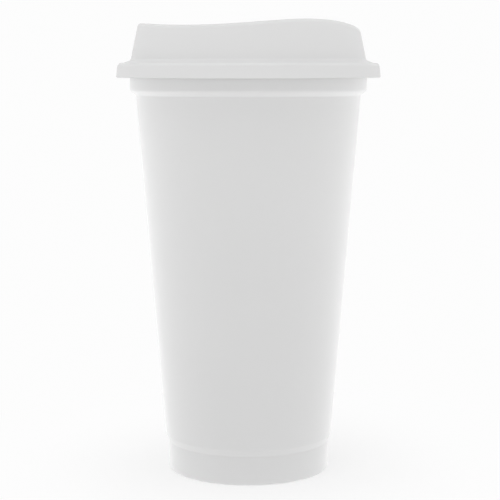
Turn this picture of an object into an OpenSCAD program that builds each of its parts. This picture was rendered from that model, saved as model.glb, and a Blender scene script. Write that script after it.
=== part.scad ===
// Reusable hot drink cup with a press-on lid, both moulded in white polypropylene.
// The cup stands on z = 0 with its axis on Z. The drinking side of the lid faces +X.

/* [Cup] */
// Height of the cup's rim above the table
cup_h = 146.3; // [120:0.1:180]
// Diameter of the straight foot
foot_d = 58.5; // [50:0.1:66]
// Height of the straight foot
foot_h = 10.5; // [8:0.1:14]
// Height of the slope from the foot out to the wall
foot_step_h = 2.4; // [1.5:0.1:4]
// How far the wall stands out from the foot, on the radius
foot_step_w = 1.1; // [0.4:0.05:2]
// Outside diameter of the stacking collar under the lid
collar_d = 84.8; // [76:0.1:100]
// Height of the collar, from its shoulder to the rim
collar_h = 8.6; // [7:0.1:12]
// How far the collar stands out from the tapered wall, on the radius
shoulder_w = 2.1; // [1:0.05:3.5]
// Height of the shoulder between wall and collar
shoulder_h = 1.6; // [0.8:0.05:3]
// Thickness of the cup's wall
wall_t = 1.3; // [1:0.05:1.8]
// Thickness of the floor
floor_t = 1.4; // [1:0.05:2.5]
// Rise of the floor from its edge to the middle
floor_crown = 0.6; // [0:0.1:1.5]
// Radius of the corner between floor and wall, inside
floor_round = 3; // [1:0.1:6]
// Thickness of the foot ring
foot_t = 1.7; // [1.4:0.05:2.5]
// Radius of the foot's outer edge
foot_round = 1; // [0.3:0.1:1.1]
// Diameter of the gate mark under the floor
gate_d = 8; // [4:0.5:16]
// Depth of the gate mark
gate_depth = 0.4; // [0.1:0.05:0.6]

/* [Rim] */
// How far the hooked rim stands out from the collar, on the radius
rim_w = 2.8; // [2:0.05:4]
// Height of the hooked rim
rim_h = 2.8; // [1.8:0.1:3.2]
// Thickness of the rim's hook
rim_t = 1.2; // [0.9:0.05:1.4]
// Radius of the rim's outer edge
rim_round = 0.8; // [0.3:0.05:1]

/* [Lid flange] */
// Thickness of the flange over the rim
flange_t = 1.25; // [1:0.05:2]
// Height of the flange's outside face
flange_h = 5.25; // [4.7:0.05:6]
// Thickness of the skirt at its lower edge
skirt_t = 1.75; // [1.3:0.05:2.5]
// How much the outside face leans in towards its top, on the radius
skirt_lean = 0.6; // [0:0.05:0.8]
// Radius of the flange's upper edge
flange_round = 1.5; // [0.5:0.1:1.8]
// Clearance between skirt and rim, on the radius
skirt_gap = 0.35; // [0.25:0.05:0.6]
// Clearance between snap bead and rim, on the radius
snap_gap = 0.15; // [0.1:0.05:0.25]
// Height of the snap bead
snap_h = 0.9; // [0.7:0.05:1.4]
// Thickness of the sealing fin inside the mouth
fin_t = 0.9; // [0.7:0.05:1.2]
// Length of the sealing fin below the flange
fin_h = 5.2; // [2:0.1:6]
// Clearance between fin and mouth, on the radius
fin_gap = 0.2; // [0.15:0.05:0.4]

/* [Lid dome] */
// Thickness of the dome, its lip and its well
lid_t = 1.2; // [1:0.05:1.4]
// How far the dome's foot stands out from the edge of the cup's mouth, on the radius
dome_set_out = 1; // [0.6:0.05:1.6]
// Width of the sloping ledge round the dome's foot
ledge_w = 2.45; // [1:0.05:2.6]
// Rise of the sloping ledge round the dome's foot
ledge_h = 0.95; // [0.8:0.05:2]
// Lean of the dome's wall from upright, in degrees
dome_lean = 12.1; // [6:0.1:16]
// Height of the lip above the flange at the back
back_h = 14.15; // [12:0.05:18]
// Height of the lip at its dip
dip_h = 12.6; // [12:0.05:18]
// Height of the lip halfway between dip and crest
mid_h = 13.5; // [12:0.05:18]
// Height of the lip at its crest
crest_h = 14.7; // [13:0.05:18]
// Height of the lip at the drinking edge
sip_edge_h = 12; // [11:0.05:16]
// Distance from the back of the lip to its dip
dip_setback = 21.6; // [16:0.1:28]
// Distance from the drinking edge back to the crest
crest_setback = 18.5; // [14:0.1:24]
// Slope of the lip at the back, as rise over run
back_slope = -0.18; // [-0.3:0.01:0]
// Slope of the lip halfway between dip and crest
mid_slope = 0.068; // [0:0.002:0.12]
// Slope of the lip at the drinking edge
sip_edge_slope = -0.37; // [-0.5:0.01:0]
// Width of the lip round the back and sides
lip_w = 4.4; // [4:0.1:6]
// Width of the drinking platform
platform_w = 17.5; // [14:0.1:22]
// Radius of the lip's outer edge at the back
lip_round = 1.3; // [1.2:0.05:1.5]
// Radius of the drinking edge
sip_round = 2.4; // [1.3:0.1:3.5]
// Radius between the lip and the well
well_round = 1.2; // [0.5:0.1:1.5]
// Height of the well's floor above the flange
well_h = 5.4; // [4:0.1:8]
// Lean of the well's side from upright, in degrees
well_lean = 25; // [15:1:35]
// Radius between the well's side and floor
well_floor_round = 2; // [1:0.1:3]
// Diameter of the gate mark in the middle of the well
well_gate_d = 6; // [3:0.5:10]
// Depth of that gate mark
well_gate_depth = 0.25; // [0.1:0.05:0.4]

/* [Lid holes] */
// Length of the sip hole, across the lid
sip_l = 12; // [8:0.5:14]
// Width of the sip hole
sip_w = 5; // [4.6:0.1:6]
// Distance from the drinking edge to the middle of the sip hole
sip_setback = 7; // [6.5:0.1:9]
// Diameter of the vent hole
vent_d = 2.4; // [1.5:0.1:3]
// Distance from the back edge of the well's floor to the middle of the vent hole
vent_setback = 7; // [4:0.5:20]

/* [Hidden] */

sides = 80;            // segments round the lid's dome
arc_steps = 5;         // segments in each fillet of a turned profile
edge_steps = 2;        // segments where an edge is only broken
dome_arc_steps = 3;    // segments in each fillet of the dome
small_round = 0.3;     // radius of the edges that are only broken
fillet_share = 0.48;   // the most of an edge that one fillet may take
straight_angle = 0.05; // a corner that turns less than this, in degrees, needs no fillet
mouth_round = 0.5;     // radius of the mouth's inner edge
shoulder_inner_round = 0.8;
shoulder_outer_round = 1.2;
foot_step_round = 1;
ledge_round = 1.2;
foot_sink = 0.35;      // how deep the dome's foot reaches into the flange
snap_lead = 0.3;       // height of the slope above and below the bead
fin_lead = 0.3;        // how much the fin thins towards its tip
cut_over = 5;          // how far a cutting tool reaches past what it cuts
turned_sides = 180;    // $fn of the turned shapes
land_first = 0.34;     // where the points between the lip's two edges start, as a share of its width
land_last = 0.76;      // and where they end
land_steps = 3;
well_corner = land_steps + 5;  // index of the corner between the well's side and floor
platform_falloff = 3;  // how quickly the platform narrows into the lip round the sides

// Cup, derived
foot_r = foot_d / 2;
foot_inner_r = foot_r - foot_t;
collar_r = collar_d / 2;
wall_base = [foot_r + foot_step_w, foot_h + foot_step_h];
wall_top = [collar_r - shoulder_w, cup_h - collar_h - shoulder_h];
collar_base = [collar_r, cup_h - collar_h];
mouth_r = collar_r - wall_t;
rim_r = collar_r + rim_w;
floor_z = foot_h;
floor_under_z = floor_z - floor_t;
gate_r = gate_d / 2;

// Lid, derived
flange_z = cup_h + flange_t;
skirt_z = flange_z - flange_h;
skirt_inner_r = rim_r + skirt_gap;
snap_r = rim_r + snap_gap;
skirt_r = skirt_inner_r + skirt_t;
fin_r = mouth_r - fin_gap;
dome_r = mouth_r + dome_set_out;
ledge_r = dome_r + ledge_w;
ledge_z = flange_z + ledge_h;
dome_foot_z = flange_z - foot_sink;
well_z = flange_z + well_h;
lip_r = dome_r_at(flange_z + mid_h);
sip_edge_x = dome_r_at(flange_z + sip_edge_h);
sip_x = sip_edge_x - sip_setback;
dip_x = dip_setback - lip_r;
crest_x = sip_edge_x - crest_setback;

// Geometry helpers. A corner is [radius, height, fillet radius].
function flat(p) = [p[0], p[1]];
function unit(v) = v / norm(v);
function left(v) = [-v[1], v[0]];
function reversed(list) = [for (i = [len(list) - 1:-1:0]) list[i]];

// Signed angle from direction a to direction b
function turn(a, b) = atan2(a[0] * b[1] - a[1] * b[0], a * b);

function turned(v, angle) = [
    v[0] * cos(angle) - v[1] * sin(angle),
    v[0] * sin(angle) + v[1] * cos(angle)
];

// Arc that rounds corner b between its neighbours a and c, limited by the two edges
function fillet(a, b, c, radius, steps) =
    let (
        to_a = unit(a - b),
        to_c = unit(c - b),
        half = abs(turn(to_a, to_c)) / 2,
        reach = min(radius / tan(half), fillet_share * min(norm(a - b), norm(c - b))),
        centre = b + unit(to_a + to_c) * reach / cos(half),
        first = b + to_a * reach - centre,
        sweep = turn(first, b + to_c * reach - centre)
    )
    [for (k = [0:steps]) centre + turned(first, sweep * k / steps)];

function is_straight(a, b, c) = 180 - abs(turn(a - b, c - b)) < straight_angle;

// Outline through the corners, with each corner that has a radius rounded
function rounded(corners, steps, small_steps = edge_steps) =
    let (last = len(corners) - 1)
    [for (i = [0:last])
        let (
            a = flat(corners[max(i - 1, 0)]),
            b = flat(corners[i]),
            c = flat(corners[min(i + 1, last)])
        )
        each i == 0 || i == last || corners[i][2] == 0 || is_straight(a, b, c)
            ? [b]
            : fillet(a, b, c, corners[i][2], corners[i][2] > small_round ? steps : small_steps)];

// Corner b moved by t to the left of the way from a over b to c
function inset(a, b, c, t) =
    let (
        n1 = left(unit(flat(b) - flat(a))),
        n2 = left(unit(flat(c) - flat(b)))
    )
    flat(b) + t * (n1 + n2) / (1 + n1 * n2);

function with_round(p, radius) = [p[0], p[1], radius];

// Cup: one turned section, from the middle of the underside round to the middle of the floor
wall_slope = (wall_top[0] - wall_base[0]) / (wall_top[1] - wall_base[1]);
function wall_inside_r(z) =
    wall_base[0] + wall_slope * (z - wall_base[1]) - wall_t * sqrt(1 + pow(wall_slope, 2));
gate_edge_z = floor_under_z + floor_crown * (1 - gate_r / foot_inner_r);

cup_corners = [
    [0, gate_edge_z + gate_depth, 0],
    [gate_r - gate_depth, gate_edge_z + gate_depth, 0],
    [gate_r, gate_edge_z, 0],
    [foot_inner_r, floor_under_z, foot_step_round],
    [foot_inner_r, 0, small_round],
    [foot_r, 0, foot_round],
    [foot_r, foot_h, foot_step_round],
    with_round(wall_base, foot_step_round),
    with_round(wall_top, shoulder_inner_round),
    with_round(collar_base, shoulder_outer_round),
    [collar_r, cup_h - rim_t, small_round],
    [rim_r - rim_t, cup_h - rim_t, small_round],
    [rim_r - rim_t, cup_h - rim_h, small_round],
    [rim_r, cup_h - rim_h, small_round],
    [rim_r, cup_h, rim_round],
    [mouth_r, cup_h, mouth_round],
    with_round(inset(wall_top, collar_base, [collar_r, cup_h], wall_t), shoulder_inner_round),
    with_round(inset(wall_base, wall_top, collar_base, wall_t), shoulder_outer_round),
    [wall_inside_r(floor_z), floor_z, floor_round],
    [0, floor_z + floor_crown, 0]
];

module cup() {
    color("whitesmoke")
        rotate_extrude($fn = turned_sides)
            polygon(rounded(cup_corners, arc_steps));
}

// Lid flange: skirt with its snap bead, web over the rim and sealing fin
fin_inner_r = fin_r - fin_t;

flange_corners = [
    [fin_inner_r, flange_z, 0],
    [fin_inner_r, cup_h - fin_h, small_round / 2],
    [fin_r - fin_lead, cup_h - fin_h, small_round],
    [fin_r, cup_h, small_round],
    [skirt_inner_r, cup_h, small_round],
    [skirt_inner_r, skirt_z + snap_h + snap_lead, 0],
    [snap_r, skirt_z + snap_h, 0],
    [snap_r, skirt_z + snap_lead, 0],
    [snap_r + snap_lead, skirt_z, 0],
    [skirt_r, skirt_z, small_round],
    [skirt_r - skirt_lean, flange_z, flange_round]
];

module flange() {
    rotate_extrude($fn = turned_sides)
        polygon(rounded(flange_corners, arc_steps));
}

// Dome: a shell lofted through one section for each direction round the axis.
// Its foot is the sloping ledge, which rises out of the flange's flat top.
ledge_foot_r = ledge_r + (flange_z - dome_foot_z) * (ledge_r - dome_r) / ledge_h;
function dome_r_at(z) = dome_r - (z - ledge_z) * tan(dome_lean);

// Smooth curve through p and q, each [distance, height, slope]
function eased(p, q, x) =
    let (
        run = q[0] - p[0],
        t = (x - p[0]) / run
    )
    p[1] * (2 * pow(t, 3) - 3 * pow(t, 2) + 1) + q[1] * (3 * pow(t, 2) - 2 * pow(t, 3))
    + p[2] * run * (pow(t, 3) - 2 * pow(t, 2) + t) + q[2] * run * (pow(t, 3) - pow(t, 2));

// The lip's wave, from the back over the dip and the crest to the drinking edge
wave_knots = [
    [-lip_r, back_h, back_slope],
    [dip_x, dip_h, 0],
    [(dip_x + crest_x) / 2, mid_h, mid_slope],
    [crest_x, crest_h, 0],
    [sip_edge_x, sip_edge_h, sip_edge_slope]
];

function wave_z(x) =
    let (span = x < wave_knots[1][0] ? 0 : x < wave_knots[2][0] ? 1 : x < wave_knots[3][0] ? 2 : 3)
    flange_z + eased(wave_knots[span], wave_knots[span + 1], x);

// 1 towards the drinking edge, 0 at the back
function frontness(angle) = (1 + cos(angle)) / 2;

// Where the dome's wall meets the wave, found in two steps
function lip_edge(angle) =
    let (
        r1 = dome_r_at(wave_z(lip_r * cos(angle))),
        r2 = dome_r_at(wave_z(r1 * cos(angle)))
    )
    [r2, wave_z(r2 * cos(angle)), lip_round + (sip_round - lip_round) * frontness(angle)];

function on_wave(angle, r) = [r, wave_z(r * cos(angle)), 0];

function dome_corners(angle) =
    let (
        edge = lip_edge(angle),
        width = lip_w + (platform_w - lip_w) * pow(frontness(angle), platform_falloff),
        well_edge = on_wave(angle, edge[0] - width),
        well_corner_r = well_edge[0] - (well_edge[1] - well_z) * tan(well_lean)
    )
    [
        [ledge_foot_r, dome_foot_z, 0],
        [dome_r, ledge_z, ledge_round],
        edge,
        for (k = [0:land_steps])
            on_wave(angle, edge[0] - width * (land_first + (land_last - land_first) * k / land_steps)),
        with_round(well_edge, well_round),
        [well_corner_r, well_z, well_floor_round],
        [0, well_z, 0]
    ];

// The same section's inner side, one wall thickness in and with no ledge
function dome_inner_corners(corners) =
    let (last = len(corners) - 1)
    [for (i = [1:last])
        i == 1 ? [dome_r_at(dome_foot_z) - lid_t / cos(dome_lean), dome_foot_z, 0]
        : i == last ? [0, corners[i][1] - lid_t, 0]
        : with_round(
            inset(corners[i - 1], corners[i], corners[i + 1], lid_t),
            corners[i][2] == 0 ? 0
            : i == last - 1 ? corners[i][2] + lid_t
            : max(corners[i][2] - lid_t, small_round))];

// One section as a path from the inner pole down to the foot and up to the outer pole
function dome_path(angle) =
    let (
        corners = dome_corners(angle),
        outside = rounded(corners, dome_arc_steps, dome_arc_steps),
        inside = reversed(rounded(dome_inner_corners(corners), dome_arc_steps, dome_arc_steps))
    )
    concat([for (j = [1:len(inside) - 1]) inside[j]], [for (j = [0:len(outside) - 2]) outside[j]]);

module dome() {
    angles = [for (i = [0:sides - 1]) 360 * i / sides];
    paths = [for (angle = angles) dome_path(angle)];
    rings = len(paths[0]);
    inner_pole = sides * rings;
    outer_pole = inner_pole + 1;
    points = [
        for (i = [0:sides - 1], p = paths[i]) [p[0] * cos(angles[i]), p[0] * sin(angles[i]), p[1]],
        [0, 0, well_z - lid_t],
        [0, 0, well_z]
    ];
    faces = [
        for (i = [0:sides - 1])
            let (
                here = i * rings,
                next = (i + 1) % sides * rings
            )
            each [
                [inner_pole, here, next],
                for (j = [0:rings - 2])
                    each [
                        [here + j, here + j + 1, next + j + 1],
                        [here + j, next + j + 1, next + j]
                    ],
                [here + rings - 1, outer_pole, next + rings - 1]
            ]
    ];
    polyhedron(points, faces);
}

// Rounded slot along Y, cut straight down through the drinking platform
module sip_hole() {
    length = sip_l - sip_w;
    translate([sip_x, 0, well_z]) {
        for (side = [-1, 1])
            translate([0, side * length / 2, 0])
                cylinder(h = crest_h, d = sip_w, $fn = turned_sides);
        translate([-sip_w / 2, -length / 2, 0])
            cube([sip_w, length, crest_h]);
    }
}

module well_gate_mark() {
    translate([0, 0, well_z - well_gate_depth])
        cylinder(h = cut_over, d = well_gate_d, $fn = turned_sides);
}

module vent_hole() {
    back_well_r = dome_corners(180)[well_corner][0];
    translate([vent_setback - back_well_r, 0, well_z - lid_t - cut_over])
        cylinder(h = lid_t + 2 * cut_over, d = vent_d, $fn = turned_sides);
}

module lid() {
    color("white")
        difference() {
            union() {
                flange();
                dome();
            }
            well_gate_mark();
            sip_hole();
            vent_hole();
        }
}

cup();
lid();
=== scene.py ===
# %% [markdown]
# # A lidded hot drink cup in moulded plastic
#
# The object is a tall white cup with a press-on lid. Both are moulded in
# polypropylene: the cup is one turned shell, and the lid is a shell whose top
# edge rises and falls like a wave, with a platform to drink from at the front.
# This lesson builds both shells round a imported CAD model, which fixes where
# everything is. X points to the drinking side and Z points up.

# %% Load the CAD frame
import math

import bmesh
import bpy
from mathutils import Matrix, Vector
from mathutils.bvhtree import BVHTree


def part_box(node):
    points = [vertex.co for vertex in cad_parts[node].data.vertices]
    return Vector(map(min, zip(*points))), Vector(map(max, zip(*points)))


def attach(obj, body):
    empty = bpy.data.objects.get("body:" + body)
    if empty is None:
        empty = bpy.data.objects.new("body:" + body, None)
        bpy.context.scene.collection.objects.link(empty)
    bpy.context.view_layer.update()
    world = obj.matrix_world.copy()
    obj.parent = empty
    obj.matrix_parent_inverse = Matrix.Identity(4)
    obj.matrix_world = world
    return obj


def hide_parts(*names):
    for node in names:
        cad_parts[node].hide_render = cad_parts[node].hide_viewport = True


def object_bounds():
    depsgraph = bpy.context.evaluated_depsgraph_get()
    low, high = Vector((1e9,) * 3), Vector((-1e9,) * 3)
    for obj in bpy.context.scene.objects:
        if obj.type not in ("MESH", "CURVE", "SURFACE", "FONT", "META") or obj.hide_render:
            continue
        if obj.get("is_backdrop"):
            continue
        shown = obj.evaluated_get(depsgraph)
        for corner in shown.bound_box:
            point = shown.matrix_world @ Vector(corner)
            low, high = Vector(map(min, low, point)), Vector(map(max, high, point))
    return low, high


MM = 0.001

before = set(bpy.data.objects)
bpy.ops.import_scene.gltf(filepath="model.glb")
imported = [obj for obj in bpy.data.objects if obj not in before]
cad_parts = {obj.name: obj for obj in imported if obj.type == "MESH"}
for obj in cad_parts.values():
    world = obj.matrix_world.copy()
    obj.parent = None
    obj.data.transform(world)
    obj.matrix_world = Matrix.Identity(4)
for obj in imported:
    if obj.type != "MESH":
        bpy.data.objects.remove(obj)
cad_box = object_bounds()
for node in sorted(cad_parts):
    low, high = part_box(node)
    print(node, "measures", [round((b - a) / MM, 1) for a, b in zip(low, high)], "mm")

# %% [markdown]
# ## Sizes of the cup
#
# The drawings of such a cup are in millimetres, and Blender works in metres. So
# the sizes below are kept in millimetres, as on a drawing, and each helper
# multiplies them by MM once, where it makes a point. They are the CAD model's
# own sizes, so the finer shells made here lie where its solids are. A size that
# follows from others is worked out from them: the wall starts a step outside
# the foot, and the rim stands out from the collar.

# %% Sizes of the cup
CUP_H, WALL_T = 146.3, 1.3
FOOT_R, FOOT_H, FOOT_T = 29.25, 10.5, 1.7
FOOT_STEP_W, FOOT_STEP_H = 1.1, 2.4
COLLAR_R, COLLAR_H = 42.4, 8.6
SHOULDER_W, SHOULDER_H = 2.1, 1.6
RIM_W, RIM_T, RIM_H = 2.8, 1.2, 2.8
FLOOR_T, FLOOR_CROWN = 1.4, 0.6
GATE_R, GATE_DEPTH = 4.0, 0.4
FOOT_ROUND, FOOT_STEP_ROUND, FLOOR_ROUND = 1.0, 1.0, 3.0
SHOULDER_INNER_ROUND, SHOULDER_OUTER_ROUND = 0.8, 1.2
RIM_ROUND, MOUTH_ROUND = 0.8, 0.5
SMALL_ROUND, GATE_ROUND = 0.3, 0.15

WALL_BASE = (FOOT_R + FOOT_STEP_W, FOOT_H + FOOT_STEP_H)
COLLAR_Z = CUP_H - COLLAR_H
WALL_TOP = (COLLAR_R - SHOULDER_W, COLLAR_Z - SHOULDER_H)
RIM_R = COLLAR_R + RIM_W
MOUTH_R = COLLAR_R - WALL_T
FLOOR_Z = FOOT_H
print("the mouth is", round(2 * MOUTH_R, 1), "mm wide and the rim", round(2 * RIM_R, 1), "mm")

# %% [markdown]
# ## Sizes of the lid
#
# A lid is drawn round the cup that it fits. The skirt and the snap bead follow
# from the cup's rim and the sealing fin from its mouth, each set off by a named
# clearance. The dome stands on the flange, with a sloping ledge round its foot.
# The gate marks, here and under the cup, are where the plastic came in.

# %% Sizes of the lid
SKIRT_GAP, SNAP_GAP, FIN_GAP = 0.35, 0.15, 0.2
FLANGE_T, FLANGE_H, FLANGE_ROUND = 1.25, 5.25, 1.5
SKIRT_T, SKIRT_LEAN = 1.75, 0.6
SNAP_H, LEAD = 0.9, 0.3
FIN_T, FIN_H = 0.9, 5.2
DOME_SET_OUT, DOME_LEAN, LID_T = 1.0, math.radians(12.1), 1.2
LEDGE_W, LEDGE_H, LEDGE_ROUND = 2.45, 0.95, 1.2
LIP_W, PLATFORM_W, PLATFORM_FALLOFF = 4.4, 17.5, 3.0
LIP_ROUND, DRINKING_ROUND, WELL_ROUND, WELL_FLOOR_ROUND = 1.3, 2.4, 1.2, 2.0
WELL_H, WELL_LEAN = 5.4, math.radians(25)
WELL_GATE_R, WELL_GATE_DEPTH = 3.0, 0.25

FLANGE_Z = CUP_H + FLANGE_T
SKIRT_Z = FLANGE_Z - FLANGE_H
SKIRT_INNER_R = RIM_R + SKIRT_GAP
SKIRT_R = SKIRT_INNER_R + SKIRT_T
SNAP_R = RIM_R + SNAP_GAP
FIN_R = MOUTH_R - FIN_GAP
FIN_INNER_R = FIN_R - FIN_T
DOME_R = MOUTH_R + DOME_SET_OUT
LEDGE_R, LEDGE_Z = DOME_R + LEDGE_W, FLANGE_Z + LEDGE_H
WELL_Z = FLANGE_Z + WELL_H
print("the lid is", round(2 * SKIRT_R, 1), "mm wide, and its flange's top lies at",
      round(FLANGE_Z, 2), "mm")

# %% [markdown]
# ## The camera
#
# The picture that this model follows was taken level with the cup's mouth, a
# little more than half a metre away, and tilted down by about seven degrees. A
# long lens keeps the sides of the cup nearly parallel. A camera could be placed
# by eye, but then the outlines never quite meet. These values come from a fit
# to the foot, the collar and the lid's flange at the same time, so that the
# model's outline falls on the outline in the picture.

# %% Camera
LENS_PIXELS, PICTURE_PIXELS, SENSOR_W = 1485.96, 500, 36.0
CAMERA_Y, CAMERA_Z = -536.57, 146.42
CAMERA_TILT, CAMERA_SWING = 7.06, -0.06


def link(name, data):
    """A new object in the scene that holds the data."""
    thing = bpy.data.objects.new(name, data)
    bpy.context.scene.collection.objects.link(thing)
    return thing


camera_data = bpy.data.cameras.new("camera")
camera_data.sensor_width = SENSOR_W
camera_data.lens = LENS_PIXELS / PICTURE_PIXELS * SENSOR_W
camera = link("camera", camera_data)
camera.location = Vector((0, CAMERA_Y, CAMERA_Z)) * MM
camera.rotation_euler = (math.radians(90 - CAMERA_TILT), 0, math.radians(CAMERA_SWING))
bpy.context.scene.camera = camera
print("the camera's lens is", round(camera_data.lens, 1), "mm")

# %% [markdown]
# ## Formulas as nodes
#
# Geometry Nodes can follow a rule, such as the height of the lip for each
# direction round the lid, and stay editable. Built by hand, a formula becomes a
# long chain of Math nodes. The small class below wraps one output socket and
# turns +, -, *, /, ** and % into Math nodes, so that a formula in this script
# reads like the formula on paper. add() makes any node, sets its options and
# fills its inputs in order with numbers or with other nodes' outputs.

# %% A helper that writes node trees
COLUMNS, NODE_SPACE = 12, (220, 240)


class Field:
    """One value that flows through a node tree."""

    def __init__(self, tree, socket):
        self.tree, self.socket = tree, socket

    def other(self, name):
        """Another output of the same node."""
        return Field(self.tree, self.socket.node.outputs[name])

    def maths(self, operation, *others):
        return add(self.tree, "ShaderNodeMath", self, *others, operation=operation)

    def __add__(self, b):
        return self.maths("ADD", b)

    def __sub__(self, b):
        return self.maths("SUBTRACT", b)

    def __rsub__(self, a):
        return self.maths("MULTIPLY_ADD", -1, a)

    def __mul__(self, b):
        return self.maths("MULTIPLY", b)

    def __truediv__(self, b):
        return self.maths("DIVIDE", b)

    def __pow__(self, b):
        return self.maths("POWER", b)

    def __mod__(self, b):
        return self.maths("MODULO", b)

    __radd__, __rmul__ = __add__, __mul__


def add(tree, kind, *values, **options):
    """Makes a node, sets its options, fills its inputs in order and returns its first output."""
    count = len(tree.nodes)
    node = tree.nodes.new(kind)
    node.location = (count % COLUMNS * NODE_SPACE[0], -(count // COLUMNS) * NODE_SPACE[1])
    for name, value in options.items():
        setattr(node, name, value)
    inputs = [socket for socket in node.inputs if socket.enabled]
    for socket, value in zip(inputs, values):
        if isinstance(value, Field):
            tree.links.new(value.socket, socket)
        elif value is not None:
            socket.default_value = value
    outputs = [socket for socket in node.outputs if socket.enabled]
    return Field(tree, outputs[0]) if outputs else node


def vector_maths(tree, operation, *values):
    return add(tree, "ShaderNodeVectorMath", *values, operation=operation)


# %% [markdown]
# A tree that is used like a tool needs named inputs and outputs. In Blender 4.5
# they are made with interface.new_socket, on trees for geometry and for shaders
# alike. This helper makes them from two short lists and hands the inputs back
# as fields, ready for formulas.

# %% A helper that starts a tree
GEOMETRY, MATERIAL = "NodeSocketGeometry", "NodeSocketMaterial"
NUMBER, WHOLE = "NodeSocketFloat", "NodeSocketInt"
COLOUR, VECTOR = "NodeSocketColor", "NodeSocketVector"


def new_tree(name, inputs, outputs, kind="GeometryNodeTree"):
    """A tree with named inputs and outputs, and its inputs as fields."""
    tree = bpy.data.node_groups.new(name, kind)
    for label, (socket_type, default) in inputs.items():
        socket = tree.interface.new_socket(label, in_out="INPUT", socket_type=socket_type)
        if default is not None:
            socket.default_value = default
    for label, socket_type in outputs.items():
        tree.interface.new_socket(label, in_out="OUTPUT", socket_type=socket_type)
    source = tree.nodes.new("NodeGroupInput")
    return tree, {label: Field(tree, source.outputs[label]) for label in inputs}


# %% [markdown]
# ## From a section to a shell
#
# Both shells are made from sections: a section is the line that a saw cut
# through the axis would show, from the middle of the underside round to the
# middle of the top. A cup could be spun with the Screw modifier, but the lid's
# section changes from side to side, and one method should serve both. So the
# section is copied once for each direction, the copies may change, and their
# corners are rounded. The group below then lays a grid over the copies: row by
# row, each grid point takes the place of its section point, turned round the
# axis to its own direction, so the grid's own size plays no part. Merge by
# Distance closes the seam and the two poles.

# %% A tree that skins sections round the axis
CUP_SIDES, LID_SIDES, FILLET_STEPS = 192, 240, 6
TURN = 2 * math.pi
GRID_SIZE = 1.0
MERGE = 0.002 * MM

skin_tree, given = new_tree(
    "skin_sections", {"Sections": (GEOMETRY, None), "Sides": (WHOLE, CUP_SIDES)},
    {"Mesh": GEOMETRY})
sides = given["Sides"]
points = add(skin_tree, "GeometryNodeAttributeDomainSize", given["Sections"], component="CURVE")
rings = points / sides
grid = add(skin_tree, "GeometryNodeMeshGrid", GRID_SIZE, GRID_SIZE, sides + 1, rings)
index = add(skin_tree, "GeometryNodeInputIndex")
side = (index / rings).maths("FLOOR")
section_point = add(
    skin_tree, "GeometryNodeSampleIndex", given["Sections"],
    add(skin_tree, "GeometryNodeInputPosition"), side % sides * rings + index % rings,
    data_type="FLOAT_VECTOR")
turned = add(
    skin_tree, "ShaderNodeVectorRotate", section_point, (0, 0, 0), side * TURN / sides,
    rotation_type="Z_AXIS")
shell = add(skin_tree, "GeometryNodeSetPosition", grid, True, turned)
shell = add(skin_tree, "GeometryNodeMergeByDistance", shell, True, MERGE)
shell = add(skin_tree, "GeometryNodeSetShadeSmooth", shell, True, True)
add(skin_tree, "NodeGroupOutput", shell)
print(skin_tree.name, "has", len(skin_tree.nodes), "nodes")

# %% [markdown]
# Each shell's own tree starts and ends in the same way, so two helpers write
# those parts. One turns the drawn section into a curve and copies it. The other
# rounds the corners with Fillet Curve, skins the copies and ends the tree.
# Realize Instances and Set Material come last, so that a real mesh with its own
# material leaves the tree, and nothing that only stands for one.

# %% Helpers that start and end a shell's tree


def stored(tree, name):
    """A number that the drawn section keeps for each of its corners."""
    return add(tree, "GeometryNodeInputNamedAttribute", name, data_type="FLOAT")


def section_copies(tree, given):
    """The drawn section as a curve, once for each side."""
    section = add(tree, "GeometryNodeMeshToCurve", given["Section"])
    return add(
        tree, "GeometryNodeDuplicateElements", section, True, given["Sides"], domain="SPLINE")


def finish_shell(tree, given, curves, radius):
    """Rounds the corners of the curves, skins them, sets the material and ends the tree."""
    rounded = add(
        tree, "GeometryNodeFilletCurve", curves, given["Fillet Steps"], radius, True, mode="POLY")
    shell = add(tree, "GeometryNodeGroup", rounded, given["Sides"], node_tree=skin_tree)
    shell = add(tree, "GeometryNodeRealizeInstances", shell)
    shell = add(tree, "GeometryNodeSetMaterial", shell, True, given["Material"])
    add(tree, "NodeGroupOutput", shell)
    print(tree.name, "has", len(tree.nodes), "nodes")


# %% [markdown]
# The section itself is drawn as a mesh of points and edges. Each point is a
# corner, and an attribute named fillet holds the radius that rounds it, so the
# drawing stays as short as a table. Two more helpers set a modifier's inputs by
# the socket's identifier, which stays the same if the name on the socket
# changes, and turn a finished modifier result into a plain mesh.

# %% Helpers that draw a section and run a tree on it


def draw_section(name, corners, **values):
    """A polyline in the XZ plane. A corner is (radius, height, fillet radius) in mm."""
    mesh = bpy.data.meshes.new(name)
    places = [(r * MM, 0, z * MM) for r, z, _ in corners]
    mesh.from_pydata(places, [(i, i + 1) for i in range(len(corners) - 1)], [])
    values["fillet"] = [radius * MM for _, _, radius in corners]
    for attribute, numbers in values.items():
        mesh.attributes.new(attribute, "FLOAT", "POINT").data.foreach_set("value", numbers)
    return link(name, mesh)


def run_tree(thing, tree, **inputs):
    """Adds the tree as a modifier, with its inputs set by their sockets' identifiers."""
    modifier = thing.modifiers.new(tree.name, "NODES")
    modifier.node_group = tree
    sockets = {item.name: item.identifier for item in tree.interface.items_tree
               if item.item_type == "SOCKET" and item.in_out == "INPUT"}
    for name, value in inputs.items():
        modifier[sockets[name.replace("_", " ")]] = value


def plain_mesh(thing):
    """Replaces the object's mesh by what its modifiers make of it, and removes them."""
    bpy.context.view_layer.update()
    result = thing.evaluated_get(bpy.context.evaluated_depsgraph_get())
    mesh = bpy.data.meshes.new_from_object(result)
    mesh.name = thing.name
    thing.modifiers.clear()
    thing.data = mesh


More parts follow.
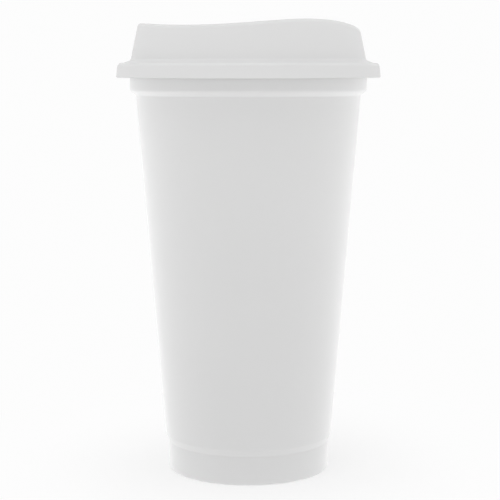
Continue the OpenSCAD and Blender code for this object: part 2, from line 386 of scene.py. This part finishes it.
# %% [markdown]
# A smooth shell shows wavy reflections where a large face meets a tiny fillet,
# because the shading at their shared corner is an average of both. More fillet
# steps would only narrow the waves. The Weighted Normal modifier lets the large
# faces decide instead, so that the walls stay calm. Every shell is also
# measured: a closed one has no open edges, and one that faces outwards has a
# volume above zero.

# %% Helpers that calm the shading and measure a shell
LARGE_FACES_FIRST = 100


def even_normals(thing):
    """Lets the large faces decide the shading beside small fillets."""
    modifier = thing.modifiers.new("even_normals", "WEIGHTED_NORMAL")
    modifier.weight = LARGE_FACES_FIRST
    modifier.keep_sharp = True


def report(thing):
    """Prints the size of a shell, and whether it is closed and faces outwards."""
    work = bmesh.new()
    work.from_mesh(thing.data)
    open_edges = sum(not edge.is_manifold for edge in work.edges)
    volume = work.calc_volume(signed=True) / MM ** 3
    print(f"{thing.name}: {len(work.faces)} faces, {open_edges} open edges, {volume:.0f} mm3")
    work.free()


# %% [markdown]
# ## The moulded surface
#
# Polypropylene comes out of the mould white and satin. A fine grain that the
# mould leaves, and a slow unevenness where the plastic shrank while it cooled,
# tell it from plain paint. Both could be painted as textures, but noise on
# Object coordinates has no seams and needs no unwrapping. They vary over the
# surface and both pieces need them, so they are made once, in a node group. Its
# depths are in millimetres, because the Bump node's distance is MM.

# %% The shared node group for moulded surfaces
GRAIN_SIZE, FLOW_SIZE = 0.4 * MM, 30 * MM
TONE_FROM_FLOW, TONE_FROM_GRAIN = 0.6, 0.4
ROUGH_FROM_GRAIN, ROUGH_FROM_FLOW = 0.12, 0.08
FULL_BUMP = 1.0


def noise(tree, place, size, detail):
    """Soft noise with features of about the given size, from -1 to 1."""
    cloud = add(tree, "ShaderNodeTexNoise", place, size ** -1, detail)
    return (cloud - 0.5) * 2


mould_tree, given = new_tree(
    "moulded_surface",
    {"Place": (VECTOR, None), "Colour": (COLOUR, None), "Tone": (NUMBER, None),
     "Roughness": (NUMBER, None), "Grain Size": (NUMBER, GRAIN_SIZE),
     "Grain Depth": (NUMBER, None), "Flow Size": (NUMBER, FLOW_SIZE),
     "Flow Depth": (NUMBER, None)},
    {"Colour": COLOUR, "Roughness": NUMBER, "Normal": VECTOR}, kind="ShaderNodeTree")
grain = noise(mould_tree, given["Place"], given["Grain Size"], detail=2.0)
flow = noise(mould_tree, given["Place"], given["Flow Size"], detail=1.0)
shade = (1 + flow * given["Tone"] * TONE_FROM_FLOW
         + grain * given["Tone"] * TONE_FROM_GRAIN)
tone = vector_maths(mould_tree, "SCALE", given["Colour"], shade)
rough = given["Roughness"] * (1 + grain * ROUGH_FROM_GRAIN + flow * ROUGH_FROM_FLOW)
relief = grain * given["Grain Depth"] + flow * given["Flow Depth"]
bump = add(mould_tree, "ShaderNodeBump", FULL_BUMP, MM, None, relief)
add(mould_tree, "NodeGroupOutput", tone, rough, bump)
print(mould_tree.name, "has", len(mould_tree.nodes), "nodes")

# %% [markdown]
# ## The two finishes
#
# The cup and the lid are the same white plastic with different polish. The
# cup's long wall is glossy and brightens towards both sides, so it has a strong
# clear coat and a sheen. Light also goes a little way into its plastic, which a
# low share of subsurface scattering shows at less cost than a real volume. The
# lid is satin: it is rougher, with a thin coat and no sheen. What is the same
# all over a piece is set on the shader's own sockets.

# %% Materials of the cup and the lid
PLASTIC_IOR = 1.49
COAT_ROUGHNESS, SHEEN_ROUGHNESS = 0.18, 0.5
SCATTER_REACH, SCATTER_COLOURS = 2 * MM, (1, 1, 1)
FEEDS = {"Colour": "Base Color", "Roughness": "Roughness", "Normal": "Normal"}


def moulded_plastic(name, colour, roughness, specular, coat, sheen, scatter, **surface):
    """White polypropylene: the shared surface group feeds one Principled BSDF."""
    material = bpy.data.materials.new(name)
    material.use_nodes = True
    tree = material.node_tree
    tree.nodes.clear()
    place = add(tree, "ShaderNodeTexCoord").other("Object")
    group = tree.nodes.new("ShaderNodeGroup")
    group.node_tree = mould_tree
    tree.links.new(place.socket, group.inputs["Place"])
    group.inputs["Colour"].default_value = (*colour, 1)
    group.inputs["Roughness"].default_value = roughness
    for label, value in surface.items():
        group.inputs[label.replace("_", " ")].default_value = value
    shader = tree.nodes.new("ShaderNodeBsdfPrincipled")
    shader.inputs["IOR"].default_value = PLASTIC_IOR
    shader.inputs["Specular IOR Level"].default_value = specular
    shader.inputs["Coat Weight"].default_value = coat
    shader.inputs["Coat Roughness"].default_value = COAT_ROUGHNESS
    shader.inputs["Sheen Weight"].default_value = sheen
    shader.inputs["Sheen Roughness"].default_value = SHEEN_ROUGHNESS
    shader.inputs["Subsurface Weight"].default_value = scatter
    shader.inputs["Subsurface Radius"].default_value = SCATTER_COLOURS
    shader.inputs["Subsurface Scale"].default_value = SCATTER_REACH
    for label, socket in FEEDS.items():
        tree.links.new(group.outputs[label], shader.inputs[socket])
    output = tree.nodes.new("ShaderNodeOutputMaterial")
    tree.links.new(shader.outputs["BSDF"], output.inputs["Surface"])
    print(name, "has roughness", roughness, "and coat", coat)
    return material


cup_white = moulded_plastic(
    "cup_white", colour=(0.64, 0.64, 0.64), roughness=0.32, specular=0.5, coat=0.8, sheen=1.0,
    scatter=0.3, Tone=0.015, Grain_Depth=0.003, Flow_Depth=0.015)
lid_white = moulded_plastic(
    "lid_white", colour=(0.66, 0.66, 0.66), roughness=0.6, specular=0.2, coat=0.2, sheen=0.0,
    scatter=0.0, Tone=0.015, Grain_Depth=0.005, Flow_Depth=0.01)

# %% [markdown]
# ## The cup
#
# The cup is the same all round, so its tree only copies the section, rounds the
# corners and skins the copies. Spinning the section would do as well, but this
# tree shows the method at its plainest, before the lid adds its own rule.

# %% The tree that turns a section
turned_tree, given = new_tree(
    "turned_shell",
    {"Section": (GEOMETRY, None), "Sides": (WHOLE, CUP_SIDES),
     "Fillet Steps": (WHOLE, FILLET_STEPS), "Material": (MATERIAL, None)}, {"Mesh": GEOMETRY})
copies = section_copies(turned_tree, given)
finish_shell(turned_tree, given, copies, stored(turned_tree, "fillet"))

# %% [markdown]
# The cup's section starts in the middle of the underside, with the small round
# mark of the mould's gate. It runs down inside the foot, up the outside to the
# hooked rim, and back down inside to the floor. The foot stands straight and
# lets the cups stack. Above it the wall leans out to a shoulder, and the collar
# on the shoulder carries the rim. The inner corners at the shoulder are the
# outer ones moved in, so the wall keeps its thickness round the bend.

# %% The cup's section
FOOT_INNER_R = FOOT_R - FOOT_T
UNDER_Z = FLOOR_Z - FLOOR_T
GATE_Z = UNDER_Z + FLOOR_CROWN * (1 - GATE_R / FOOT_INNER_R)


def left_of(start, end):
    """The direction to the left of the way from start to end."""
    return Vector((start[1] - end[1], end[0] - start[0])).normalized()


def inset(before, corner, after, distance):
    """A corner moved to the left of the way through it, to keep a wall's thickness."""
    left_in, left_out = left_of(before, corner), left_of(corner, after)
    return Vector(corner) + distance * (left_in + left_out) / (1 + left_in.dot(left_out))


collar_base, collar_top = (COLLAR_R, COLLAR_Z), (COLLAR_R, CUP_H)
inner_shoulder = inset(WALL_TOP, collar_base, collar_top, WALL_T)
inner_wall_top = inset(WALL_BASE, WALL_TOP, collar_base, WALL_T)
wall_slope = (WALL_TOP[0] - WALL_BASE[0]) / (WALL_TOP[1] - WALL_BASE[1])
floor_r = (WALL_BASE[0] + wall_slope * (FLOOR_Z - WALL_BASE[1])
           - WALL_T * math.hypot(1, wall_slope))

# Each line is a corner's radius, height and fillet radius
cup_corners = [
    (0, GATE_Z + GATE_DEPTH, 0),
    (GATE_R - GATE_DEPTH, GATE_Z + GATE_DEPTH, GATE_ROUND),
    (GATE_R, GATE_Z, GATE_ROUND),
    (FOOT_INNER_R, UNDER_Z, FOOT_STEP_ROUND),
    (FOOT_INNER_R, 0, SMALL_ROUND),
    (FOOT_R, 0, FOOT_ROUND),
    (FOOT_R, FOOT_H, FOOT_STEP_ROUND),
    (*WALL_BASE, FOOT_STEP_ROUND),
    (*WALL_TOP, SHOULDER_INNER_ROUND),
    (*collar_base, SHOULDER_OUTER_ROUND),
    (COLLAR_R, CUP_H - RIM_T, SMALL_ROUND),
    (RIM_R - RIM_T, CUP_H - RIM_T, SMALL_ROUND),
    (RIM_R - RIM_T, CUP_H - RIM_H, SMALL_ROUND),
    (RIM_R, CUP_H - RIM_H, SMALL_ROUND),
    (RIM_R, CUP_H, RIM_ROUND),
    (MOUTH_R, CUP_H, MOUTH_ROUND),
    (*inner_shoulder, SHOULDER_INNER_ROUND),
    (*inner_wall_top, SHOULDER_OUTER_ROUND),
    (floor_r, FLOOR_Z, FLOOR_ROUND),
    (0, FLOOR_Z + FLOOR_CROWN, 0)]
print("the cup's section has", len(cup_corners), "corners")

# %% [markdown]
# The drawing becomes an object, the tree runs on it as a modifier, and the
# result is made a plain mesh, because a finished piece should depend on nothing
# else. One shell, one object: the real cup is one moulding too.

# %% Run the cup's tree
cup_shell = draw_section("cup_shell", cup_corners)
run_tree(cup_shell, turned_tree, Sides=CUP_SIDES, Fillet_Steps=FILLET_STEPS, Material=cup_white)
even_normals(cup_shell)
plain_mesh(cup_shell)
report(cup_shell)

# %% [markdown]
# ## The wave of the lip
#
# Seen from the side, the lid's lip falls from the back to a dip, climbs to a
# crest and falls again to the drinking edge. Only five points and their slopes
# were measured, and a smooth curve joins them. Each point below is its distance
# along X, its height above the flange, and the slope there.

# %% The points of the wave
BACK_H, DIP_H, MID_H, CREST_H, SIP_EDGE_H = 14.15, 12.6, 13.5, 14.7, 12.0
BACK_SLOPE, MID_SLOPE, SIP_EDGE_SLOPE = -0.18, 0.068, -0.37
DIP_SETBACK, CREST_SETBACK = 21.6, 18.5
LIP_R, SIP_EDGE_X = (DOME_R - (h - LEDGE_H) * math.tan(DOME_LEAN) for h in (MID_H, SIP_EDGE_H))
DIP_X, CREST_X = DIP_SETBACK - LIP_R, SIP_EDGE_X - CREST_SETBACK

wave_knots = [
    (-LIP_R, BACK_H, BACK_SLOPE),
    (DIP_X, DIP_H, 0),
    ((DIP_X + CREST_X) / 2, MID_H, MID_SLOPE),
    (CREST_X, CREST_H, 0),
    (SIP_EDGE_X, SIP_EDGE_H, SIP_EDGE_SLOPE)]
print("the wave's crest lies", round(CREST_X, 1), "mm in front of the axis")

# %% [markdown]
# The wave could be a chain of polynomials in Math nodes. A Float Curve node
# holds the same curve and can still be dragged by hand, so the script works the
# curve out once and gives it to that node. The node's own curve runs from 0 to
# 1 both ways, so distances and heights are scaled into that square and back.

# %% The Float Curve that holds the wave
WAVE_REACH, WAVE_LOW, WAVE_HIGH = 42.0, 10.0, 17.0
WAVE_STEPS = 4
FULL_CURVE = 1.0


def eased(p, q, x):
    """Height at x on the smooth curve from knot p to knot q."""
    run = q[0] - p[0]
    t = (x - p[0]) / run
    return (p[1] * (2 * t**3 - 3 * t**2 + 1) + q[1] * (3 * t**2 - 2 * t**3)
            + p[2] * run * (t**3 - 2 * t**2 + t) + q[2] * run * (t**3 - t**2))


wave = [(-WAVE_REACH, BACK_H + BACK_SLOPE * (LIP_R - WAVE_REACH))]
for p, q in zip(wave_knots, wave_knots[1:]):
    xs = [p[0] + (q[0] - p[0]) * k / WAVE_STEPS for k in range(WAVE_STEPS)]
    wave += [(x, eased(p, q, x)) for x in xs]
wave.append((SIP_EDGE_X, SIP_EDGE_H))
wave.append((WAVE_REACH, SIP_EDGE_H + SIP_EDGE_SLOPE * (WAVE_REACH - SIP_EDGE_X)))

wave_tree, given = new_tree("lip_wave", {"Distance": (NUMBER, 0.0)}, {"Height": NUMBER})
along = given["Distance"] / (2 * WAVE_REACH * MM) + 0.5
curve = add(wave_tree, "ShaderNodeFloatCurve", FULL_CURVE, along)
knots = curve.socket.node.mapping.curves[0].points
for number, (x, z) in enumerate(wave):
    spot = ((x / WAVE_REACH + 1) / 2, (z - WAVE_LOW) / (WAVE_HIGH - WAVE_LOW))
    if number in (0, 1):
        knots[number].location = spot
    else:
        knots.new(*spot)
curve.socket.node.mapping.update()
wave_z = curve * ((WAVE_HIGH - WAVE_LOW) * MM) + (FLANGE_Z + WAVE_LOW) * MM
add(wave_tree, "NodeGroupOutput", wave_z)
print("the wave has", len(knots), "points, from", round(min(z for _, z in wave), 2),
      "to", round(max(z for _, z in wave), 2), "mm above the flange")

# %% [markdown]
# ## The lid
#
# The lid's section has two parts. The flange, with its skirt, its snap bead and
# the sealing fin that sits in the cup's mouth, is the same all round. The dome
# above it follows the wave: where the wall meets the wave is the lip, the lip
# widens towards the front into the drinking platform, and behind it the surface
# drops into a well. So the drawing holds the flange as it is, and the corners
# that the tree will put in place only carry numbers. Share says how far a
# corner is from the lip's outer edge, as a share of the lip's width. Only
# corners with a share of zero or more follow the wave.

# %% The lid's section
LANDS = 6
LAND_FIRST, LAND_LAST = 0.3, 0.8
FIXED = -1.0
PLACED_LATER = (0, 0, 0)
dome_foot_r = DOME_R - (FLANGE_Z - LEDGE_Z) * math.tan(DOME_LEAN) - LID_T / math.cos(DOME_LEAN)
lands = [LAND_FIRST + (LAND_LAST - LAND_FIRST) * k / (LANDS - 1) for k in range(LANDS)]

# Each line is a corner's radius, height and fillet radius
inner_dome = [
    (0, WELL_Z - LID_T, 0),
    (0, 0, WELL_FLOOR_ROUND + LID_T),
    (0, 0, SMALL_ROUND),
    *[PLACED_LATER] * LANDS,
    PLACED_LATER]
flange = [
    (dome_foot_r, FLANGE_Z, SMALL_ROUND),
    (FIN_INNER_R, FLANGE_Z, SMALL_ROUND),
    (FIN_INNER_R, CUP_H - FIN_H, SMALL_ROUND / 2),
    (FIN_R - LEAD, CUP_H - FIN_H, SMALL_ROUND),
    (FIN_R, CUP_H, SMALL_ROUND),
    (SKIRT_INNER_R, CUP_H, SMALL_ROUND),
    (SKIRT_INNER_R, SKIRT_Z + SNAP_H + LEAD, SMALL_ROUND),
    (SNAP_R, SKIRT_Z + SNAP_H, SMALL_ROUND),
    (SNAP_R, SKIRT_Z + LEAD, SMALL_ROUND),
    (SNAP_R + LEAD, SKIRT_Z, SMALL_ROUND),
    (SKIRT_R, SKIRT_Z, SMALL_ROUND),
    (SKIRT_R - SKIRT_LEAN, FLANGE_Z, FLANGE_ROUND),
    (LEDGE_R, FLANGE_Z, SMALL_ROUND),
    (DOME_R, LEDGE_Z, LEDGE_ROUND)]
outer_dome = [
    PLACED_LATER,
    *[PLACED_LATER] * LANDS,
    (0, 0, WELL_ROUND),
    (0, 0, WELL_FLOOR_ROUND)]
well_gate = [
    (WELL_GATE_R, WELL_Z, GATE_ROUND),
    (WELL_GATE_R - WELL_GATE_DEPTH, WELL_Z - WELL_GATE_DEPTH, GATE_ROUND),
    (0, WELL_Z - WELL_GATE_DEPTH, 0)]

lid_corners = inner_dome + flange + outer_dome + well_gate
INNER_EDGE = len(inner_dome) - 1
OUTER_EDGE = len(inner_dome) + len(flange)
WELL_CORNER = OUTER_EDGE + len(outer_dome) - 1
shares = [FIXED] * OUTER_EDGE + [0.0, *lands, 1.0, FIXED] + [FIXED] * len(well_gate)
print("the lid's section has", len(lid_corners), "corners")

# %% [markdown]
# The next three code cells are the lid's rule. Angle runs once round the lid,
# and frontness is 1 at the drinking side and 0 at the back. The wall's radius
# shrinks with height and the wave's height depends on the radius, so the lip's
# edge is found by two steps of putting one into the other, which is exact
# enough at this slope. The lip's other corners then follow from its width.

# %% The lid's tree: the outside of the lip
FIRST_GUESS = 0.94

lid_tree, given = new_tree(
    "lofted_lid",
    {"Section": (GEOMETRY, None), "Sides": (WHOLE, LID_SIDES),
     "Fillet Steps": (WHOLE, FILLET_STEPS),
     "Dome Radius": (NUMBER, DOME_R * MM), "Ledge Height": (NUMBER, LEDGE_Z * MM),
     "Dome Lean": (NUMBER, DOME_LEAN), "Wall": (NUMBER, LID_T * MM),
     "Lip Width": (NUMBER, LIP_W * MM), "Platform Width": (NUMBER, PLATFORM_W * MM),
     "Falloff": (NUMBER, PLATFORM_FALLOFF), "Lip Round": (NUMBER, LIP_ROUND * MM),
     "Drinking Round": (NUMBER, DRINKING_ROUND * MM), "Well Height": (NUMBER, WELL_Z * MM),
     "Well Lean": (NUMBER, WELL_LEAN), "Material": (MATERIAL, None)}, {"Mesh": GEOMETRY})
copies = section_copies(lid_tree, given)
angle = copies.other("Duplicate Index") * TURN / given["Sides"]
ahead = angle.maths("COSINE")
frontness = (1 + ahead) / 2


def wave_height(radius):
    return add(lid_tree, "GeometryNodeGroup", radius * ahead, node_tree=wave_tree)


def wall_radius(height):
    lean = given["Dome Lean"].maths("TANGENT")
    return given["Dome Radius"] - (height - given["Ledge Height"]) * lean


def point(radius, height):
    return add(lid_tree, "ShaderNodeCombineXYZ", radius, 0.0, height)


edge_r = wall_radius(wave_height(wall_radius(wave_height(given["Dome Radius"] * FIRST_GUESS))))
widening = frontness ** given["Falloff"]
width = given["Lip Width"] + (given["Platform Width"] - given["Lip Width"]) * widening
share = stored(lid_tree, "share")
lip_r = edge_r - width * share
curves = add(
    lid_tree, "GeometryNodeSetPosition", copies, share.maths("GREATER_THAN", FIXED / 2),
    point(lip_r, wave_height(lip_r)))
print("the lip of", lid_tree.name, "takes", len(lid_tree.nodes), "nodes")

# %% [markdown]
# The well's corner lies where the line down from the lip's inner edge, at the
# well's lean, reaches the well's height. For the inside of the dome, Evaluate
# at Index looks up the outer corner and its two neighbours, and the corner
# moves inwards along the sum of the two edges' normals. The list of corners
# runs out along the inside of the dome and comes back over its outside, so
# inner corner 1 belongs to the well's corner, inner corner 2 to the one before
# it, and so on.

# %% The lid's tree: the well and the inside
index = add(lid_tree, "GeometryNodeInputIndex")
corner = index % len(lid_corners)
position = add(lid_tree, "GeometryNodeInputPosition")


def corner_at(number):
    return add(lid_tree, "GeometryNodeFieldAtIndex", position, number, data_type="FLOAT_VECTOR")


def between(value, low, high):
    """1 where low <= value <= high, for whole numbers."""
    return value.maths("GREATER_THAN", low - 0.5) * value.maths("LESS_THAN", high + 0.5)


def left_normal(start, end):
    way = vector_maths(lid_tree, "NORMALIZE", vector_maths(lid_tree, "SUBTRACT", end, start))
    return vector_maths(lid_tree, "CROSS_PRODUCT", way, (0, 1, 0))


before = add(lid_tree, "ShaderNodeSeparateXYZ", corner_at(index - 1))
drop = before.other("Z") - given["Well Height"]
curves = add(
    lid_tree, "GeometryNodeSetPosition", curves, between(corner, WELL_CORNER, WELL_CORNER),
    point(before - drop * given["Well Lean"].maths("TANGENT"), given["Well Height"]))

outer = index + (WELL_CORNER + 1) - corner * 2
last_corner, this_corner, next_corner = (corner_at(outer + step) for step in (-1, 0, 1))
normals = left_normal(last_corner, this_corner), left_normal(this_corner, next_corner)
reach = given["Wall"] / (1 + vector_maths(lid_tree, "DOT_PRODUCT", *normals))
inward = vector_maths(lid_tree, "SCALE", vector_maths(lid_tree, "ADD", *normals), reach)
curves = add(
    lid_tree, "GeometryNodeSetPosition", curves, between(corner, 1, INNER_EDGE),
    vector_maths(lid_tree, "ADD", this_corner, inward))

# %% [markdown]
# The drinking edge is rounder than the lip at the back, because a mouth rests
# on it. So the radius of that corner grows with frontness. The inner corner's
# radius is one wall smaller, where that leaves enough to round it. The other
# corners keep the radius that was drawn with them. Then the tree ends like the
# cup's.

# %% The lid's tree: rounding and the end
edge_round = given["Lip Round"] + (given["Drinking Round"] - given["Lip Round"]) * frontness
inner_round = (edge_round - given["Wall"]).maths("MAXIMUM", SMALL_ROUND * MM)
radius = (stored(lid_tree, "fillet") + edge_round * between(corner, OUTER_EDGE, OUTER_EDGE)
          + inner_round * between(corner, INNER_EDGE, INNER_EDGE))
finish_shell(lid_tree, given, curves, radius)

# %% [markdown]
# The tree runs on the drawn section, as for the cup. The section carries the
# shares as a second attribute beside the fillets.

# %% Run the lid's tree
lid_shell = draw_section("lid_shell", lid_corners, share=shares)
run_tree(lid_shell, lid_tree, Sides=LID_SIDES, Fillet_Steps=FILLET_STEPS, Material=lid_white)
even_normals(lid_shell)
plain_mesh(lid_shell)
report(lid_shell)

# %% [markdown]
# ## The sip hole and the vent
#
# The drink comes through a rounded slot in the platform, and air gets in
# through a small round vent at the back of the well. Both are slots to the
# script: the vent is one as long as it is wide. The outline gives each point
# with the direction that leads out of the hole.

# %% The outline of a hole
SIP_L, SIP_W, SIP_SETBACK = 12.0, 5.0, 7.0
VENT_D, VENT_SETBACK = 2.4, 7.0
HALF_TURN_STEPS = 20


def slot_outline(x, length, width):
    """Points and outward directions round a slot that lies along Y, in mm."""
    outline = []
    for end in (1, -1):
        for k in range(HALF_TURN_STEPS + 1):
            turn = math.pi * k / HALF_TURN_STEPS + (0 if end > 0 else math.pi)
            way = Vector((math.cos(turn), math.sin(turn)))
            middle = Vector((x, end * (length - width) / 2))
            if length > width or k < HALF_TURN_STEPS:
                outline.append((middle + way * width / 2, way))
    return outline


sip_x = SIP_EDGE_X - SIP_SETBACK
back_edge_r = LIP_R - LIP_W - (BACK_H - WELL_H) * math.tan(WELL_LEAN)
vent_x = VENT_SETBACK - back_edge_r
sip_outline = slot_outline(sip_x, SIP_L, SIP_W)
vent_outline = slot_outline(vent_x, VENT_D, VENT_D)
print("the sip hole lies at", round(sip_x, 1), "mm and the vent at", round(vent_x, 1), "mm")

# %% [markdown]
# The edges of both holes are rounded. A Bevel modifier would trip over the
# short edges that a Boolean leaves on the curved platform. So each cutting tool
# already has the rounded edge: ring by ring it follows the lid's surface, found
# by casting a ray down on it, and flares out by the radius where it leaves the
# plastic, above and below.

# %% A cutting tool with rounded edges
HOLE_ROUND, ROUND_STEPS, OVER = 0.35, 4, 1.5
# Rays start this high above the table, or this far under the well's floor
HIGH_ABOVE, UNDER_WELL = 1000.0, 4.0


def flare_levels():
    """How far out, how deep and from which side each ring of a tool lies, from top to bottom."""
    turns = [math.pi / 2 * k / ROUND_STEPS for k in range(ROUND_STEPS + 1)]
    flare = [(HOLE_ROUND * (1 - math.sin(t)), HOLE_ROUND * (1 - math.cos(t))) for t in turns]
    top = [(HOLE_ROUND, -OVER, True)] + [(out, down, True) for out, down in flare]
    return top + [(out, down, False) for out, down, _ in reversed(top)]


def tool_ring(work, surface, outline, out, down, from_top):
    """One ring of points that keeps its depth below the surface that the rays meet."""
    start_z, way_z = (HIGH_ABOVE, -1) if from_top else (WELL_Z - UNDER_WELL, 1)
    ring = []
    for place, way in outline:
        x, y = (place + way * out) * MM
        hit = surface.ray_cast(Vector((x, y, start_z * MM)), Vector((0, 0, way_z)))[0]
        ring.append(work.verts.new((x, y, hit.z + way_z * down * MM)))
    return ring


def cutter(name, surface, outline):
    """A closed tool whose sides flare into a rounded edge at the top and bottom surfaces."""
    work = bmesh.new()
    rings = [tool_ring(work, surface, outline, *level) for level in flare_levels()]
    for upper, lower in zip(rings, rings[1:]):
        for i in range(len(outline)):
            work.faces.new((upper[i - 1], lower[i - 1], lower[i], upper[i]))
    work.faces.new(rings[0])
    work.faces.new(reversed(rings[-1]))
    bmesh.ops.recalc_face_normals(work, faces=work.faces)
    mesh = bpy.data.meshes.new(name)
    work.to_mesh(mesh)
    work.free()
    mesh.materials.append(lid_white)
    return link(name, mesh)


# %% [markdown]
# The Boolean modifier takes both tools out of the lid. Its exact solver is the
# slower one, but it keeps the shell closed where the rings of a tool run close
# to the lid's own faces. A copy of the whole lid is kept for the next step.

# %% Cut the holes
work = bmesh.new()
work.from_mesh(lid_shell.data)
surface = BVHTree.FromBMesh(work)
work.free()
whole_lid = link("whole_lid", lid_shell.data.copy())
tools = [cutter("sip_tool", surface, sip_outline), cutter("vent_tool", surface, vent_outline)]
for tool in tools:
    report(tool)
    cut = lid_shell.modifiers.new(tool.name, "BOOLEAN")
    cut.object, cut.operation, cut.solver = tool, "DIFFERENCE", "EXACT"
plain_mesh(lid_shell)
for tool in tools:
    bpy.data.objects.remove(tool)

# %% [markdown]
# The cut leaves long thin triangles round the holes, and smooth shading shows
# them as streaks on the platform. The uncut lid has the right shading at every
# point, so the Data Transfer modifier copies it to the points that still lie on
# the old surface. The points down in the holes keep their own.

# %% Take the shading from the uncut lid
on_surface = [v.index for v in lid_shell.data.vertices if surface.find_nearest(v.co)[3] < MERGE]
lid_shell.vertex_groups.new(name="on_surface").add(on_surface, 1.0, "REPLACE")
take = lid_shell.modifiers.new("take_normals", "DATA_TRANSFER")
take.object, take.vertex_group = whole_lid, "on_surface"
take.use_loop_data, take.data_types_loops = True, {"CUSTOM_NORMAL"}
take.loop_mapping = "POLYINTERP_NEAREST"
plain_mesh(lid_shell)
lid_shell.vertex_groups.clear()
bpy.data.objects.remove(whole_lid)
report(lid_shell)

# %% [markdown]
# ## Light from the room
#
# The picture was taken in a white studio, where nearly all light comes from the
# room itself. Area lamps could stand for its walls, but a world whose strength
# depends on the direction is smoother and has no edges. It is bright overhead,
# for the lid's ledge, and along the horizon, for the upright walls, with a
# little more from behind and from the sides. The picture's background is white,
# so rays that only show the room, to the camera or in a reflection, see an even
# white instead.

# %% World
SKY_LIGHT, BACK_LIGHT, SIDE_LIGHT, SEEN_LEVEL = 0.43, 0.06, 0.08, 0.98
HORIZON_LIGHT, HORIZON_FALLOFF = 2.45, 60.0
TOP_LIGHT, TOP_FALLOFF = 2.55, 8.0
WHITE = (1, 1, 1, 1)


def seen_rays(tree):
    """1 for rays that show the studio to the camera, straight or by reflection, and 0 for light."""
    rays = add(tree, "ShaderNodeLightPath")
    mirrored = rays.other("Is Glossy Ray").maths("MAXIMUM", rays.other("Is Transmission Ray"))
    return rays.other("Is Camera Ray").maths("MAXIMUM", mirrored)


world = bpy.data.worlds.new("studio")
bpy.context.scene.world = world
world.use_nodes = True
tree = world.node_tree
tree.nodes.clear()
seen = seen_rays(tree)
# A world's first texture coordinate is the direction of the ray
direction = add(tree, "ShaderNodeSeparateXYZ", add(tree, "ShaderNodeTexCoord"))
across, behind, up = direction, direction.other("Y"), direction.other("Z")
horizon = (1 - up * up) ** HORIZON_FALLOFF
overhead = up.maths("MAXIMUM", 0.0) ** TOP_FALLOFF
light = (SKY_LIGHT + horizon * HORIZON_LIGHT + overhead * TOP_LIGHT
         + behind * BACK_LIGHT + (across * across - behind * behind) * SIDE_LIGHT)
strength = light + seen * (SEEN_LEVEL - light)
background = add(tree, "ShaderNodeBackground", WHITE, strength)
add(tree, "ShaderNodeOutputWorld", background)
print("the world's light takes", len(tree.nodes), "nodes")

# %% [markdown]
# ## The table
#
# The cup stands on white paper that runs on far beyond the picture. Lit paper
# alone would be greyer than the background, with a visible horizon. So the
# floor glows in the same white as the room, and only near the foot does it mix
# in real, lit paper, which keeps the object's soft shadow. For the light that
# reaches the object the whole floor glows, and more so far away, where nothing
# stands between a studio's lamps and the paper.

# %% Floor
FLOOR_REACH = 6.0
PAPER = (0.97, 0.97, 0.97, 1)
SHADOW_START, SHADOW_END, SHADOW_FADE = 0.03, 0.13, 0.5
TABLE_NEAR, TABLE_FAR, NEAR_GLOW, FAR_GLOW = 0.8, 1.5, 1.02, 1.7

floor = link("floor", bpy.data.meshes.new("floor"))
work = bmesh.new()
bmesh.ops.create_grid(work, x_segments=1, y_segments=1, size=FLOOR_REACH)
work.to_mesh(floor.data)
work.free()
paper = bpy.data.materials.new("studio_paper")
paper.use_nodes = True
tree = paper.node_tree
tree.nodes.clear()
seen = seen_rays(tree)
place = add(tree, "ShaderNodeSeparateXYZ", add(tree, "ShaderNodeTexCoord").other("Object"))
away = (place ** 2 + place.other("Y") ** 2).maths("SQRT")
fade = add(
    tree, "ShaderNodeMapRange", away, SHADOW_START, SHADOW_END, SHADOW_FADE, 1.0,
    interpolation_type="SMOOTHSTEP")
table_light = add(
    tree, "ShaderNodeMapRange", away, TABLE_NEAR, TABLE_FAR, NEAR_GLOW, FAR_GLOW)
lit = add(tree, "ShaderNodeBsdfDiffuse", PAPER)
glow = add(tree, "ShaderNodeEmission", WHITE, table_light + seen * (SEEN_LEVEL - table_light))
mixed = add(tree, "ShaderNodeMixShader", 1 - seen * (1 - fade), lit, glow)
add(tree, "ShaderNodeOutputMaterial", mixed)
floor.data.materials.append(paper)
floor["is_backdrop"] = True
print("the floor reaches", FLOOR_REACH, "m to each side")

# %% [markdown]
# ## One lamp
#
# The room lights the object nearly evenly. A sun lamp would add a hard shadow,
# which no studio picture of this kind has. One area lamp, high in front and a
# little to the left, gives the walls a slight direction. It is large and weak,
# so its shadow has no edge.

# %% Lamp
KEY_PLACE, KEY_AIM = Vector((-0.3, -1.0, 1.6)), Vector((0, 0, 0.09))
KEY_SIZE, KEY_POWER = 1.0, 3.0

key_data = bpy.data.lights.new("key", "AREA")
key_data.shape, key_data.size, key_data.energy = "SQUARE", KEY_SIZE, KEY_POWER
key = link("key", key_data)
key.location = KEY_PLACE
key.rotation_euler = (KEY_AIM - KEY_PLACE).to_track_quat("-Z", "Y").to_euler()
print("the key lamp has", KEY_POWER, "W")

# %% [markdown]
# ## Join the pieces to the CAD model
#
# Each shell stands for one CAD node and moves with its body, so the lid lifts
# off the cup as it does in the CAD model. The last lines print the box of the
# CAD model and the box of what is seen, which have to agree.

# %% Ride, replace and finish
for piece, body, slot in ((cup_shell, "cup", "cup_plastic"), (lid_shell, "lid", "lid_plastic")):
    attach(piece, body)
    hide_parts(body)

seen_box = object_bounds()
sizes = {"cad": [list(corner) for corner in cad_box], "seen": [list(corner) for corner in seen_box]}
for name, box in sizes.items():
    print(name, [[round(value / MM, 2) for value in corner] for corner in box])

bpy.context.scene.view_settings.view_transform = "Standard"
